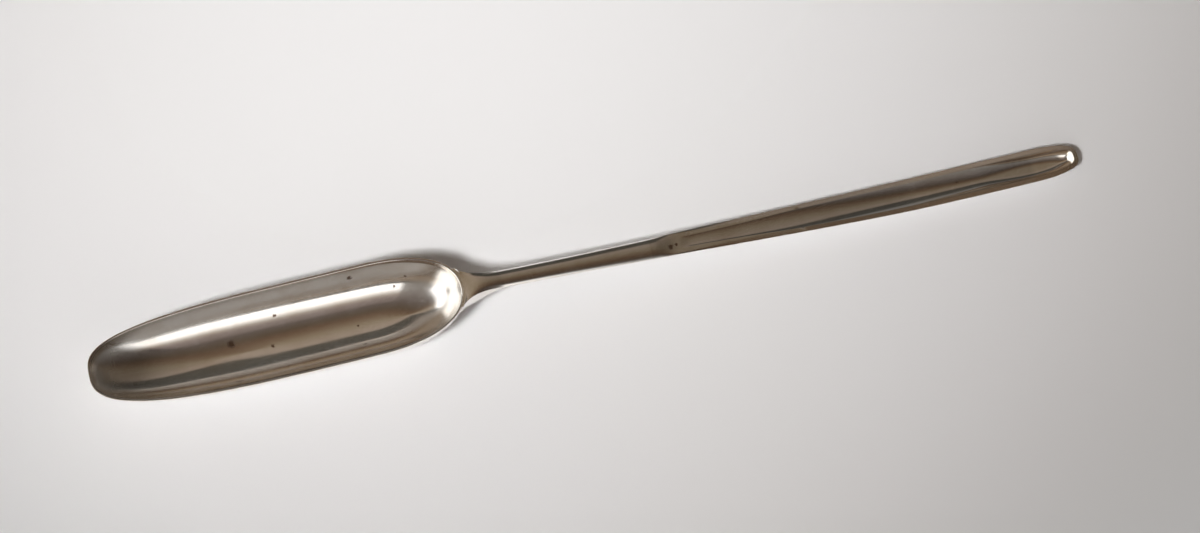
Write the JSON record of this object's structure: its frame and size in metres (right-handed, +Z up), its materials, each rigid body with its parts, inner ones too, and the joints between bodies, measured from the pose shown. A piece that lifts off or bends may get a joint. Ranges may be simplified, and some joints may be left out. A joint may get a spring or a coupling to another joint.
{
  "type": "marrow scoop",
  "caption": "Slim double-ended silver marrow scoop: a long deep bowl, a plain shank and a narrow gutter-shaped scoop for drawing marrow out of bones.",
  "frame": {"origin": "middle of the length and width, on the surface that the scoop lies on", "axes": "+X from the large bowl's tip to the small scoop's end, +Z up, with both hollows open upwards"},
  "size_m": [0.222, 0.0212, 0.0111],
  "materials": {
    "silver": "polished, softened by fine scratches and light tarnish",
    "solder": "dull silver solder line"
  },
  "bodies": {
    "root": {"large_bowl": "silver", "shank": "silver", "small_scoop": "silver", "bowl_solder": "solder", "scoop_solder": "solder"}
  },
  "joints": []
}
